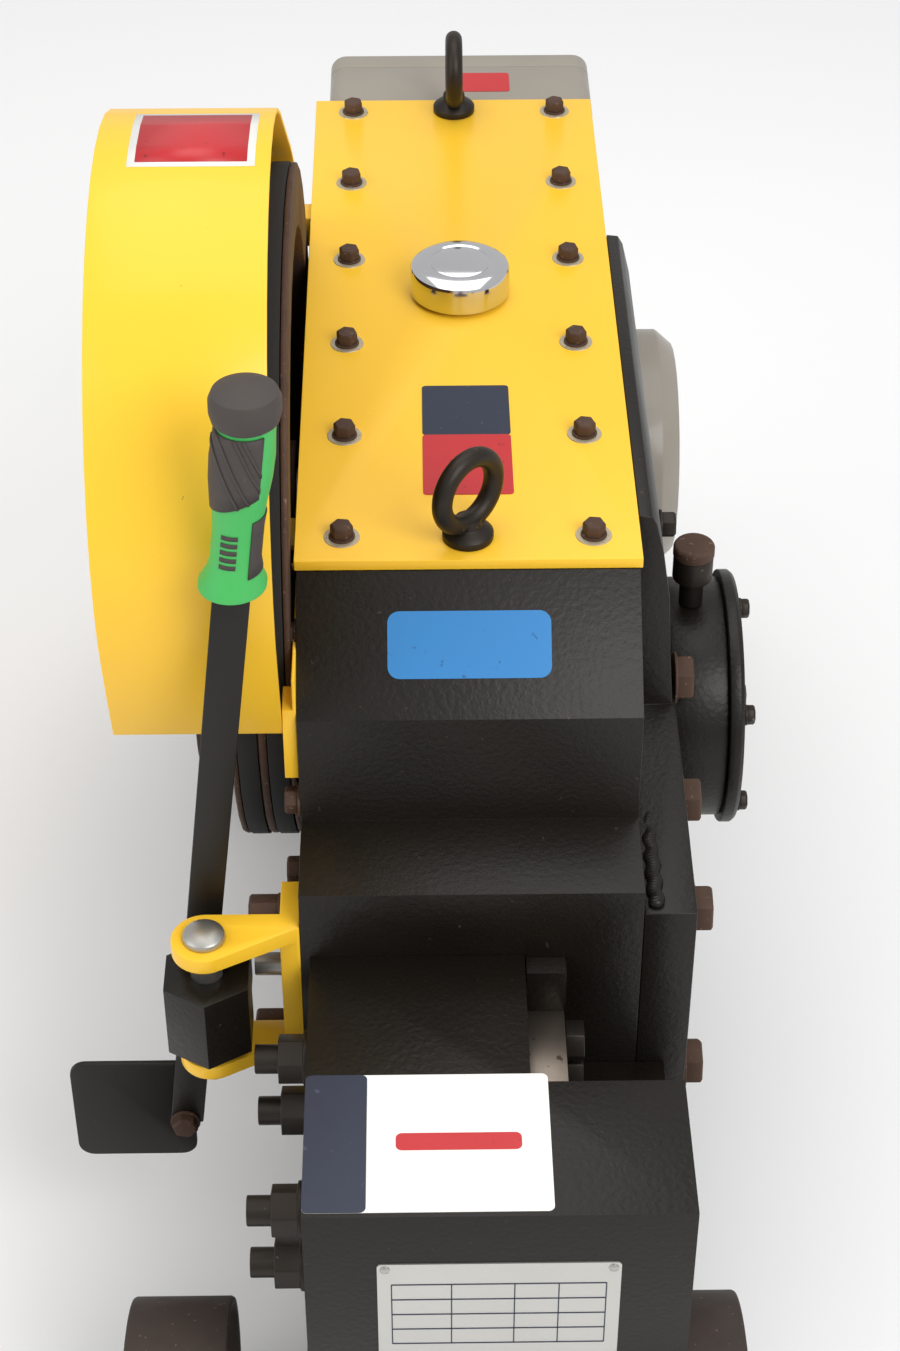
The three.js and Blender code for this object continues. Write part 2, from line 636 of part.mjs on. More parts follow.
// Slab that leans with the lever, between two heights.
function leaning(z0, z1, half0, half1, y0, y1) {
  const points = [
    [z0, leverX(z0) - half0], [z0, leverX(z0) + half0],
    [z1, leverX(z1) + half1], [z1, leverX(z1) - half1],
  ];
  return prism("y", points, y0, y1);
}

function lever() {
  const { y0, thick, width, foot, top } = LEVER;
  const trim = y0 - GAP;
  place("lever_block", cut(
    join(
      cut(prism("z", hexagon(PIN.x, PIN.y, 57, Math.PI / 6), 310, 371),
        box(-230, -130, trim, -100, 300, 380)),
      box(-170, -153, -135, -112, 320, 350),
    ),
    bar("z", PIN.x, PIN.y, PIN.r + RUN, 300, 380),
  ), blackPaint);
  const head = EARS[1][1] + GAP;
  const pin = [[0, 275], [PIN.r, 275], [PIN.r, head], [15, head], [14, head + 4],
    [8, head + 7], [0, head + 8]];
  place("lever_pin", turned("z", PIN.x, PIN.y, pin, 24), brightSteel);
  place("lever_bar", leaning(foot, top, width / 2, width / 2, y0, y0 + thick), blackPaint);
  const centre = y0 + thick / 2;
  const grip = join(
    leaning(672, 690, 22, 20, centre - 16, centre + 16),
    leaning(689, 765, 17, 19, centre - 15, centre + 15),
    leaning(764, 800, 19, 20, centre - 16, centre + 16),
    leaning(799, 822, 22, 22, centre - 18, centre + 18),
  );
  const slot = leaning(665, top + 2, width / 2 + GAP, width / 2 + GAP, y0 - GAP, y0 + thick + GAP);
  place("lever_grip", cut(grip, slot), greenRubber);
  const plate = y0 + thick + GAP;
  place("lever_paddle", box(-290, -202, plate, plate + 4, 136, 234), blackPaint);
}

// ---------- base and wheels ----------
function baseFrame() {
  const { x: rails, width, z0, z1, web, y0, y1 } = RAIL;
  const outer = rails[1] + width;
  const across = (from, to, low, high) => box(rails[0], outer, from, to, low, high);
  const pieces = [
    across(y0, y0 + 40, z0, z1),
    across(-170, -120, z0, z1),
    across(380, 430, z0, z1),
    across(y1 - 200, y1 - 10, z1 - 10, z1),
    across(y1 - 40, y1, z0, z1),
    box(-108, outer, -360, -165, z1 - 1, HEAD.bottom - GAP),
  ];
  for (const x of rails) {
    const channel = box(x, x + width, y0, y1, z0, z1);
    const inner = x < 0 ? [x + web, x + width + 1] : [x - 1, x + width - web];
    pieces.push(cut(channel, box(...inner, y0 + 40, y1 - 40, z0 + web, z1 - web)));
    for (const y of [WHEEL.front, WHEEL.rear]) {
      pieces.push(box(x, x + width, y - 32, y + 32, z0 - 16, z1));
    }
  }
  const bores = [WHEEL.front, WHEEL.rear].map((y) =>
    bar("x", y, WHEEL.r, WHEEL.axle + GAP, -200, 200));
  return cut(join(...pieces), ...bores);
}

function wheels() {
  const { r, width, left, right, front, rear, axle } = WHEEL;
  const bore = axle + RUN;
  for (const [end, y] of [["front", front], ["rear", rear]]) {
    place(`${end}_axle`, bar("x", y, r, axle, left - 1, right + width + 1), darkSteel);
    for (const [hand, x, way] of [["left", left, -1], ["right", right + width, 1]]) {
      const at = (d) => x - way * d;
      const profile = [
        [bore, at(2)], [28, at(2)], [28, at(12)], [80, at(12)], [83, at(0)], [r, at(0)],
        [r, at(width)], [83, at(width)], [83, at(20)], [28, at(20)], [28, at(width)],
        [bore, at(width)],
      ];
      place(`wheel_${end}_${hand}`, turned("x", y, r, profile, 24), rustySteel);
    }
  }
}

function greaseCup() {
  const { x, neck, r, flare, bowl, top, cap: height } = GREASE_CUP;
  const foot = CRANK_AXIS.z + BARREL.r + GAP;
  const y = CRANK_AXIS.y;
  const cup = [[0, foot], [neck, foot], [neck, flare], [r, bowl], [r, top], [0, top]];
  const edge = r + 0.5;
  const cap = [
    [0, top + GAP], [edge, top + GAP], [edge, top + height - 2], [edge - 1.5, top + height],
    [0, top + height],
  ];
  place("grease_cup", turned("z", x, y, cup, 24), darkSteel);
  place("grease_cup_cap", turned("z", x, y, cap, 24), rustySteel);
}

// ---------- assembly ----------
place("gear_housing", gearHousing(), blackPaint);
place("top_cover", topCover(), yellowPaint);
place("side_plate_right", sidePlate(), blackPaint);
place("oil_cap", oilCap(), chrome);
place("eye_bolt_front", eyeBolt(EYE.places[0], Math.PI / 4), darkSteel);
place("eye_bolt_rear", eyeBolt(EYE.places[1], Math.PI / 2), darkSteel);
bearingCovers();
greaseCup();
place("front_head", frontHead(), blackPaint);
place("fixed_blade", fixedBlade(), toolSteel);
place("ram", ram(), blackPaint);
place("moving_blade", movingBlade(), toolSteel);
["upper", "lower"].forEach((which, i) =>
  place(`blade_bolt_${which}`, bladeBolt(BLADE_BOLT.heights[i]), darkSteel));
place("ram_guide", ramGuide(), bronze);
STUD.places.forEach((at, i) => place(`head_stud_${i + 1}`, headStud(at), darkSteel));
gearTrain();
place("flywheel", flywheel(), rustySteel);
place("motor_pulley", motorPulley(), darkSteel);
GROOVES.forEach((x, i) => place(`v_belt_${i + 1}`, belt(x), beltRubber));
place("belt_guard", beltGuard(), yellowPaint);
const wallLeft = -HOUSING.halfWidth - GAP;
place("guard_bracket_front", guardBracket(wallLeft), yellowPaint);
place("guard_bracket_rear", box(GUARD.x1 + GAP, wallLeft, 476, 500, 562, 588), yellowPaint);
motor();
controls();
place("lever_bracket", leverBracket(), yellowPaint);
lever();
place("clutch_plunger",
  bar("x", PLUNGER.y, PLUNGER.z, PLUNGER.r, PLUNGER.x0, PLUNGER.x1, 16), brightSteel);
place("base_frame", baseFrame(), blackPaint);
wheels();

// Move the origin to the middle of the footprint, on the ground.
const BOUNDS = new THREE.Box3().setFromObject(machine);
const middle = BOUNDS.getCenter(new THREE.Vector3());
machine.position.set(-middle.x, -middle.y, 0);

const group = new THREE.Group();
group.add(machine);
export default group;
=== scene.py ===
"""Looks of a wheeled rebar cutter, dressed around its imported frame."""
import json
import logging
import math
from dataclasses import dataclass, field
from enum import Enum

import bpy
from mathutils import Matrix, Vector


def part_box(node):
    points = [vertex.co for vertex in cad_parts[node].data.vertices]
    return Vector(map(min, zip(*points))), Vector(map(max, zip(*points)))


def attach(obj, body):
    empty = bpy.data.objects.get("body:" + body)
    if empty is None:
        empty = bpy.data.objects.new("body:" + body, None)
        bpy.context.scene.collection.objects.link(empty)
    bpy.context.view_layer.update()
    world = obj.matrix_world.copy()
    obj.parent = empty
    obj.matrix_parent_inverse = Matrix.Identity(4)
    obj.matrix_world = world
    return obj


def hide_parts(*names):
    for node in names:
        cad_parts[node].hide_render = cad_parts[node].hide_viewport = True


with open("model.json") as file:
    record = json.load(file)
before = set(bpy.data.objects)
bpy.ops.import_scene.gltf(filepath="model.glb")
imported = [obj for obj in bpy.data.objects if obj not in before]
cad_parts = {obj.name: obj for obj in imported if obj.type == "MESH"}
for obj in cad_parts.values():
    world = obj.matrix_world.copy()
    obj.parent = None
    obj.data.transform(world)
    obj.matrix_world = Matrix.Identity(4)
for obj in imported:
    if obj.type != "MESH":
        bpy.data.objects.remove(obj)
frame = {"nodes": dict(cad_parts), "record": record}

log = logging.getLogger("rebar_cutter")
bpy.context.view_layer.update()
MM = 0.001
SHARP = math.radians(32)  # edges that turn more than this are rounded and stay crisp
Point = tuple[float, float, float]


def linear(code: str) -> Point:
    """Turn an sRGB hex colour to linear values.

    Args:
        code: six hex digits.

    Returns:
        Red, green and blue, linear.
    """
    parts = [int(code[i : i + 2], 16) / 255 for i in (0, 2, 4)]
    return tuple(p / 12.92 if p <= 0.04045 else ((p + 0.055) / 1.055) ** 2.4 for p in parts)


def add_node(tree: bpy.types.NodeTree, kind: str, settings: dict, links: dict) -> bpy.types.Node:
    """Add a shader node with its settings and links.

    Args:
        tree: the material's node tree.
        kind: the node's type name.
        settings: socket names or numbers, or node properties, with their values.
        links: socket names or numbers, with the outputs that feed them.

    Returns:
        The new node.
    """
    node = tree.nodes.new(kind)
    for key, value in settings.items():
        if isinstance(key, int) or key in node.inputs:
            node.inputs[key].default_value = value
        else:
            setattr(node, key, value)
    for key, output in links.items():
        tree.links.new(output, node.inputs[key])
    return node


@dataclass(frozen=True)
class Finish:
    """One surface finish: two tones in soft patches, small marks, and a fine relief."""

    name: str
    slot: str
    tone: str
    second: str
    mark: str
    roughness: float
    metallic: float = 0.0
    patch_mm: float = 90.0  # size of the tone patches
    grain_mm: float = 2.0  # size of the surface relief
    relief_mm: float = 0.05  # height of the relief
    mark_mm: float = 7.0  # spacing of the marks
    mark_share: float = 0.3  # 0 has no marks, 1 is covered
    coat: float = 0.0  # clear gloss over the colour
    specular: float = 0.5  # how strongly the bare surface shines

    def material(self) -> bpy.types.Material:
        """Return this finish's material, made on first use."""
        found = bpy.data.materials.get(self.name)
        return found or self._build()

    def _build(self) -> bpy.types.Material:
        """Build the node tree.

        Returns:
            The new material.
        """
        made = bpy.data.materials.new(self.name)
        made.use_nodes = True
        tree = made.node_tree
        shader = tree.nodes["Principled BSDF"]
        place = add_node(tree, "ShaderNodeTexCoord", {}, {}).outputs["Object"]
        noise = "ShaderNodeTexNoise"
        patch = add_node(tree, noise, {"Scale": 1 / (self.patch_mm * MM), "Detail": 5.0}, {"Vector": place})
        marks = add_node(tree, noise, {"Scale": 1 / (self.mark_mm * MM), "Detail": 3.0}, {"Vector": place})
        grain = add_node(tree, noise, {"Scale": 1 / (self.grain_mm * MM), "Detail": 2.0}, {"Vector": place})
        edge = 0.8 - 0.4 * self.mark_share  # where in the noise the marks begin
        fade = 0.04  # how softly a mark ends
        picked = add_node(
            tree, "ShaderNodeMapRange",
            {"From Min": edge, "From Max": edge + fade},
            {"Value": marks.outputs[0]},
        )
        tones = add_node(
            tree, "ShaderNodeMix",
            {"data_type": "RGBA", 6: (*linear(self.tone), 1), 7: (*linear(self.second), 1)},
            {0: patch.outputs[0]},
        )
        colour = add_node(
            tree, "ShaderNodeMix",
            {"data_type": "RGBA", 7: (*linear(self.mark), 1)},
            {0: picked.outputs[0], 6: tones.outputs[2]},
        )
        swing = 0.08  # change of roughness from patch to patch
        rough = add_node(
            tree, "ShaderNodeMapRange",
            {"To Min": max(0.03, self.roughness - swing), "To Max": min(1.0, self.roughness + swing)},
            {"Value": patch.outputs[0]},
        )
        relief = add_node(
            tree, "ShaderNodeBump",
            {"Distance": self.relief_mm * MM, "Strength": 1.0},
            {"Height": grain.outputs[0]},
        )
        tree.links.new(colour.outputs[2], shader.inputs["Base Color"])
        tree.links.new(rough.outputs[0], shader.inputs["Roughness"])
        tree.links.new(relief.outputs[0], shader.inputs["Normal"])
        shader.inputs["Metallic"].default_value = self.metallic
        shader.inputs["Coat Weight"].default_value = self.coat
        shader.inputs["Specular IOR Level"].default_value = self.specular
        shader.inputs["Coat Roughness"].default_value = 0.12
        return made


# Air-dried yellow enamel on sheet steel: half-gloss, with specks of shop dirt.
YELLOW_ENAMEL = Finish("yellow_enamel", "yellow_paint", "FAC838", "F5BE28", "6B4A1A", 0.36,
                       patch_mm=160, grain_mm=3, relief_mm=0.03, mark_mm=4, mark_share=0.1, coat=0.1,
                       specular=0.3)
# Thick black enamel over a sand casting: half-gloss over a coarse grit.
CAST_ENAMEL = Finish("cast_enamel", "black_paint", "100D09", "1B1610", "3A2F24", 0.4,
                     grain_mm=4, relief_mm=0.35, mark_mm=6, mark_share=0.2, specular=0.3)
# The same enamel on rolled steel, which has no grit.
BAR_ENAMEL = Finish("bar_enamel", "black_steel", "120F0B", "1C1711", "4A3828", 0.45,
                    grain_mm=3, relief_mm=0.08, mark_mm=8, mark_share=0.22, specular=0.35)
# Bare steel browned by weather: matt, with darker scale.
BROWN_RUST = Finish("brown_rust", "rusty_steel", "5C4334", "3E2D24", "7E6656", 0.7, 0.3,
                    patch_mm=18, grain_mm=1.5, relief_mm=0.15, mark_mm=3, mark_share=0.35)
# Oil-blackened bolts and forgings: dull with bare points.
BLACKED_STEEL = Finish("blacked_steel", "dark_steel", "2A2622", "37302A", "6E6358", 0.45, 0.7,
                       patch_mm=25, grain_mm=2, relief_mm=0.1, mark_mm=5, mark_share=0.2)
# Hardened and ground tool steel: pale, with staining.
GROUND_STEEL = Finish("ground_steel", "tool_steel", "8A8076", "6B6056", "4C4038", 0.35, 0.9,
                      patch_mm=30, grain_mm=0.8, relief_mm=0.02, mark_mm=9, mark_share=0.3)
# Turned steel kept bright by rubbing.
BRIGHT_STEEL = Finish("bright_steel", "bright_steel", "BDB9B2", "A8A39A", "7D766C", 0.25, 0.95,
                      patch_mm=20, grain_mm=1, relief_mm=0.02, mark_mm=4, mark_share=0.15)
# Chromium plate: near-mirror.
CHROME_PLATE = Finish("chrome_plate", "chrome", "DDDDDF", "D2D2D5", "B9B6B0", 0.11, 1.0,
                      patch_mm=40, grain_mm=6, relief_mm=0.01, mark_mm=5, mark_share=0.05)
# Grey machine enamel on sheet steel and ribbed castings.
GREY_ENAMEL = Finish("grey_enamel", "grey_paint", "989186", "8A8378", "5F584E", 0.45,
                     grain_mm=2.5, relief_mm=0.05, mark_mm=6, mark_share=0.12, coat=0.2)
# Moulded thermoplastic rubber, bright green, with a fine mould texture.
GREEN_GRIP = Finish("green_grip", "grip_rubber", "46B85C", "3CAB52", "2F8A42", 0.48,
                    patch_mm=30, grain_mm=0.8, relief_mm=0.05, mark_mm=4, mark_share=0.1)
# The darker, softer rubber moulded over it.
DARK_GRIP = Finish("dark_grip", "grip_rubber", "3A3432", "453D39", "5A514B", 0.65,
                   patch_mm=20, grain_mm=0.9, relief_mm=0.08, mark_mm=3, mark_share=0.2)
# Fabric-wrapped rubber belt: matt with dust.
BELT_RUBBER = Finish("belt_rubber", "belt_rubber", "1D1B1A", "262422", "4A4541", 0.85,
                     patch_mm=20, grain_mm=1, relief_mm=0.1)
# Paint scraped off to bare metal by a turning spanner.
SCUFFED_STEEL = Finish("scuffed_steel", "bright_steel", "C9BFA6", "A89A80", "6B5A46", 0.4, 0.5,
                       patch_mm=6, grain_mm=1, relief_mm=0.05, mark_mm=2, mark_share=0.35)
# Weathered drum steel: brown-grey and matt.
DRUM_STEEL = Finish("drum_steel", "rusty_steel", "4A3F39", "3A312C", "6E5A4C", 0.65, 0.4,
                    patch_mm=25, grain_mm=1.5, relief_mm=0.12, mark_mm=4, mark_share=0.3)
# Moulded nylon: even and dull.
FAN_PLASTIC = Finish("fan_plastic", "fan_plastic", "1E1D1C", "252322", "3C3936", 0.6)
# Moulded ABS push buttons: smooth and fairly glossy.
GREEN_BUTTON = Finish("green_button", "green_plastic", "2E9E4B", "2A9346", "1F7236", 0.3)
RED_BUTTON = Finish("red_button", "red_plastic", "C8302A", "BB2A25", "8E1F1B", 0.3)
# Machined cast bronze: warm, with dull stains.
BRONZE = Finish("cast_bronze", "bronze", "A97A42", "96692F", "6E4A20", 0.4, 0.9, patch_mm=30)
# Printed vinyl: smooth, with a slight ripple.
WHITE_VINYL = Finish("white_vinyl", "fan_plastic", "F2F1EC", "E9E7E0", "BDB8AC", 0.35,
                     relief_mm=0.02, mark_mm=5, mark_share=0.06)
NAVY_VINYL = Finish("navy_vinyl", "fan_plastic", "1C2438", "222B40", "3C4458", 0.35, relief_mm=0.02)
RED_VINYL = Finish("red_vinyl", "red_plastic", "C4262B", "B82328", "8A1A1E", 0.35, relief_mm=0.02)
BLUE_VINYL = Finish("blue_vinyl", "fan_plastic", "2A7FC0", "2576B5", "1B5C90", 0.35, relief_mm=0.02)
# Anodised aluminium plate.
SILVER_PLATE = Finish("silver_plate", "bright_steel", "C9C8C4", "BEBDB8", "8E8B84", 0.32, 0.8,
                      grain_mm=1, relief_mm=0.02, mark_mm=4, mark_share=0.1)


class Edge(Enum):
    """How far an edge is rounded over, in millimetres."""

    CASTING = 3.0
    FORGING = 1.5
    SHEET = 0.8


class Facing(Enum):
    """Which way a piece that was built upright points."""

    UP = Matrix.Identity(4)
    RIGHT = Matrix.Rotation(math.pi / 2, 4, "Y")
    LEFT = Matrix.Rotation(-math.pi / 2, 4, "Y")
    FRONT = Matrix.Rotation(math.pi / 2, 4, "X")


def start_clean() -> None:
    """Leave object mode with nothing selected."""
    if bpy.context.object and bpy.context.object.mode != "OBJECT":
        bpy.ops.object.mode_set(mode="OBJECT")
    bpy.ops.object.select_all(action="DESELECT")


def pick(piece: bpy.types.Object) -> None:
    """Select one piece and make it active.

    Args:
        piece: the piece that the next operators act on.
    """
    start_clean()
    piece.select_set(True)
    bpy.context.view_layer.objects.active = piece


def round_edges(piece: bpy.types.Object, width_mm: float, segments: int = 2) -> None:
    """Round the sharp edges and smooth the rest.

    Args:
        piece: the piece to finish.
        width_mm: how far the edges are cut back.
        segments: steps in each rounding.
    """
    pick(piece)
    if width_mm > 0:
        bevel = piece.modifiers.new("rounding", "BEVEL")
        bevel.width = width_mm * MM
        bevel.segments = segments
        bevel.limit_method = "ANGLE"
        bevel.angle_limit = SHARP
        bpy.ops.object.modifier_apply(modifier=bevel.name)
    bpy.ops.object.shade_smooth_by_angle(angle=SHARP)


def settle(piece: bpy.types.Object, name: str, finish: Finish, body: str) -> bpy.types.Object:
    """Name, paint and attach a finished piece.

    Args:
        piece: the piece, in place.
        name: its name.
        finish: its surface.
        body: the body it rides on.

    Returns:
        The same piece.
    """
    piece.name = name
    piece.data.name = name
    piece.data.materials.clear()
    piece.data.materials.append(finish.material())
    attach(piece, body)
    log.info("piece %s on %s", name, body)
    return piece


def body_of(node: str) -> str:
    """Return the body that holds a CAD node."""
    bodies = frame["record"]["behaviour"]["bodies"]
    return next(body for body, nodes in bodies.items() if node in nodes)


def middle(node: str) -> Vector:
    """Return the centre of a CAD node's box."""
    low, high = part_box(node)
    return (Vector(low) + Vector(high)) / 2


def refine(node: str, finish: Finish, edge: Edge) -> bpy.types.Object:
    """Stand a rounded, smooth copy in for a faceted CAD node.

    Args:
        node: the CAD node.
        finish: its surface.
        edge: how its edges are rounded.

    Returns:
        The copy.
    """
    source = frame["nodes"][node]
    copy = bpy.data.objects.new(f"{node}_skin", source.data.copy())
    bpy.context.scene.collection.objects.link(copy)
    pick(copy)
    bpy.ops.object.mode_set(mode="EDIT")
    bpy.ops.mesh.select_all(action="SELECT")
    bpy.ops.mesh.remove_doubles(threshold=0.00002)
    bpy.ops.mesh.dissolve_limited(angle_limit=math.radians(0.5))
    bpy.ops.object.mode_set(mode="OBJECT")
    round_edges(copy, edge.value)
    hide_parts(node)
    return settle(copy, f"{node}_skin", finish, body_of(node))


def paint(node: str, finish: Finish) -> None:
    """Give a CAD node a finish and keep its shape.

    Args:
        node: the CAD node.
        finish: its surface.
    """
    mesh = frame["nodes"][node].data
    mesh.materials.clear()
    mesh.materials.append(finish.material())


def turned(profile: list[tuple[float, float]], sides: int = 64) -> bpy.types.Object:
    """Build an upright turned solid by extruding a disc up its profile.

    Args:
        profile: radius and height in millimetres, from the bottom face to the top one.
        sides: how many sides it has.

    Returns:
        The solid, standing on the origin's axis.
    """
    start_clean()
    radius, height = profile[0]
    bpy.ops.mesh.primitive_circle_add(
        vertices=sides, radius=radius * MM, fill_type="NGON", location=(0, 0, height * MM)
    )
    piece = bpy.context.object
    pick(piece)
    bpy.ops.object.transform_apply()
    bpy.ops.object.mode_set(mode="EDIT")
    bpy.ops.mesh.select_mode(type="FACE")
    bpy.ops.mesh.select_all(action="SELECT")
    for next_radius, next_height in profile[1:]:
        bpy.ops.mesh.extrude_region_move(
            TRANSFORM_OT_translate={"value": (0, 0, (next_height - height) * MM)}
        )
        scale = next_radius / radius
        bpy.ops.transform.resize(value=(scale, scale, 1), center_override=(0, 0, 0))
        radius, height = next_radius, next_height
    bpy.ops.mesh.select_all(action="SELECT")
    bpy.ops.mesh.normals_make_consistent(inside=False)
    bpy.ops.object.mode_set(mode="OBJECT")
    return piece


def move(piece: bpy.types.Object, facing: Facing, place: Vector, roll: float = 0.0) -> None:
    """Point and place a piece by its mesh.

    Args:
        piece: a piece built upright at the origin.
        facing: where its top points.
        place: where its base goes, in metres.
        roll: a turn about its own axis first, in radians.
    """
    turn = facing.value @ Matrix.Rotation(roll, 4, "Z")
    piece.data.transform(Matrix.Translation(place) @ turn)


def twin(piece: bpy.types.Object) -> bpy.types.Object:
    """Copy a piece.

    Args:
        piece: the piece to copy.

    Returns:
        A copy with its own mesh.
    """
    copy = bpy.data.objects.new(piece.name, piece.data.copy())
    bpy.context.scene.collection.objects.link(copy)
    return copy


def slab(width: float, height: float, thick: float, corner: float) -> bpy.types.Object:
    """Build a flat plate with round corners, lying on the origin.

    Args:
        width: size along X, in millimetres.
        height: size along Y.
        thick: thickness.
        corner: corner radius.

    Returns:
        The plate.
    """
    start_clean()
    bpy.ops.mesh.primitive_cube_add(size=1, location=(0, 0, thick * MM / 2))
    piece = bpy.context.object
    piece.scale = (width * MM, height * MM, thick * MM)
    pick(piece)
    bpy.ops.object.transform_apply()
    for edge in piece.data.edges:
        a, b = (piece.data.vertices[i].co for i in edge.vertices)
        edge.select = abs(a.z - b.z) > thick * MM / 2
    for item in (*piece.data.vertices, *piece.data.polygons):
        item.select = False
    bpy.ops.object.mode_set(mode="EDIT")
    bpy.ops.mesh.select_mode(type="EDGE")
    bpy.ops.mesh.bevel(offset=corner * MM, segments=6, affect="EDGES")
    bpy.ops.object.mode_set(mode="OBJECT")
    return piece


def patch(
    source: bpy.types.Object, planes: list[tuple[Point, Point]], lift_mm: float, thick_mm: float
) -> bpy.types.Object:
    """Cut a raised patch out of a copy of another piece's skin.

    Args:
        source: the piece whose skin is followed.
        planes: points and normals, in metres; what lies past each plane is cleared.
        lift_mm: how far the patch stands off the skin.
        thick_mm: its thickness.

    Returns:
        The patch.
    """
    piece = twin(source)
    pick(piece)
    bpy.ops.object.mode_set(mode="EDIT")
    for point, normal in planes:
        bpy.ops.mesh.select_all(action="SELECT")
        bpy.ops.mesh.bisect(plane_co=point, plane_no=normal, clear_outer=True)
    bpy.ops.object.mode_set(mode="OBJECT")
    wall = piece.modifiers.new("wall", "SOLIDIFY")
    wall.thickness = thick_mm * MM
    wall.offset = 1 + 2 * lift_mm / thick_mm
    bpy.ops.object.modifier_apply(modifier=wall.name)
    return piece


def window(
    x: tuple[float, float], y: tuple[float, float], z: tuple[float, float]
) -> list[tuple[Vector, Vector]]:
    """Work out the planes that keep a box of space.

    Args:
        x: the box's span along X, in metres.
        y: its span along Y.
        z: its span along Z.

    Returns:
        Each plane's point and its normal, which points out of the box.
    """
    low, high = Vector((x[0], y[0], z[0])), Vector((x[1], y[1], z[1]))
    planes = []
    for axis in range(3):
        out = Vector([1.0 if i == axis else 0.0 for i in range(3)])
        planes += [(low, -out), (high, out)]
    return planes


@dataclass
class HexBolt:
    """Hexagon head on a round washer."""

    flats: float = 19.0
    head: float = 10.0
    washer: float = 15.0
    finish: Finish = BROWN_RUST

    def build(self, name: str, facing: Facing, place: Vector, body: str, roll: float = 0.3) -> None:
        """Make one bolt.

        Args:
            name: the piece's name.
            facing: where the head points.
            place: the seat's centre, in metres.
            body: the body it rides on.
            roll: how far the head is turned, in radians.
        """
        corner = self.flats / math.sqrt(3)
        head = turned([(corner, 1.5), (corner, self.head - 1.5), (corner * 0.87, self.head)], 6)
        washer = turned([(self.washer, 0.05), (self.washer, 2.0)], 40)
        for piece, width in ((head, 0.5), (washer, 0.4)):
            round_edges(piece, width)
        pick(washer)
        head.select_set(True)
        bpy.context.view_layer.objects.active = head
        bpy.ops.object.join()
        move(head, facing, place, roll)
        settle(head, name, self.finish, body)


@dataclass
class Cover:
    """Yellow cover plate with its bolts, cap, lifting eyes and sticker."""

    inset: float = 32.0  # from the plate's long edges to the bolts
    front_margin: float = 27.0  # from its front edge to the first row
    rear_margin: float = 22.0  # from the last row to its rear edge
    neck: float = 12.0  # how far the filler neck stands over the plate
    rows: int = 6
    bolt: HexBolt = field(default_factory=lambda: HexBolt(14, 11, 9))
    eye_ring: float = 25.0  # radius of a lifting eye's ring, to the middle of its bar
    eye_bar: float = 7.0  # radius of the bar
    eye_height: float = 38.0  # from the plate to the ring's middle

    def build(self) -> None:
        """Build the cover's pieces."""
        low, high = (Vector(v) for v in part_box("top_cover"))
        deck = high.z - self.neck * MM
        first, last = low.y + self.front_margin * MM, high.y - self.rear_margin * MM
        refine("top_cover", YELLOW_ENAMEL, Edge.SHEET)
        for row in range(self.rows):
            y = first + (last - first) * row / (self.rows - 1)
            for side, x in (("left", low.x + self.inset * MM), ("right", high.x - self.inset * MM)):
                place = Vector((x, y, deck))
                self.bolt.build(f"cover_bolt_{side}_{row + 1}", Facing.UP, place, "body", 0.4 + row)
                ring = turned([(12.5, 0.02), (12.2, 0.6), (11, 0.7)], 40)
                move(ring, Facing.UP, place)
                settle(ring, f"cover_scuff_{side}_{row + 1}", SCUFFED_STEEL, "body")
        self._cap()
        self._eyes()
        self._sticker(low, high, deck)

    def _cap(self) -> None:
        """Build the chromed filler cap with its raised centre."""
        low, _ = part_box("oil_cap")
        base = middle("oil_cap")
        cap = turned([(37, 0), (38, 1), (38, 19), (37, 21.5), (34, 23.5), (29, 25), (24, 25.6),
                      (22.5, 24.8), (21, 25.4), (12, 26.6), (4, 27)], 96)
        round_edges(cap, 0.0)
        move(cap, Facing.UP, Vector((base.x, base.y, low[2])))
        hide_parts("oil_cap")
        settle(cap, "filler_cap", CHROME_PLATE, "oil_cap")

    def _eyes(self) -> None:
        """Build both forged lifting eyes."""
        for node, turn in (("eye_bolt_front", math.pi / 4), ("eye_bolt_rear", math.pi / 2)):
            low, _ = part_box(node)
            centre = middle(node)
            collar = turned([(17.5, 0), (17.5, 5), (14, 8), (9.5, 10), (9, 16)], 48)
            round_edges(collar, 0.6)
            start_clean()
            bpy.ops.mesh.primitive_torus_add(
                major_radius=self.eye_ring * MM, minor_radius=self.eye_bar * MM,
                major_segments=64, minor_segments=20,
                location=(0, 0, self.eye_height * MM), rotation=(math.pi / 2, 0, turn),
            )
            ring = bpy.context.object
            pick(ring)
            bpy.ops.object.transform_apply()
            bpy.ops.object.shade_smooth()
            collar.select_set(True)
            bpy.ops.object.join()
            move(ring, Facing.UP, Vector((centre.x, centre.y, low[2])))
            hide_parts(node)
            settle(ring, node.replace("bolt", "forging"), BLACKED_STEEL, "body")

    def _sticker(self, low: Vector, high: Vector, deck: float) -> None:
        """Lay a plain two-tone sticker on the cover.

        Args:
            low: the lowest corner of the cover's box.
            high: its highest corner.
            deck: the height of the plate's top face.
        """
        x, y = (low.x + high.x) / 2 + 1.5 * MM, low.y
        for name, finish, near, far in (("red", RED_VINYL, 75, 148), ("dark", NAVY_VINYL, 148, 211)):
            plate = slab(63, far - near, 0.4, 3)
            move(plate, Facing.UP, Vector((x, y + (near + far) / 2 * MM, deck + 0.1 * MM)))
            settle(plate, f"cover_sticker_{name}", finish, "body")


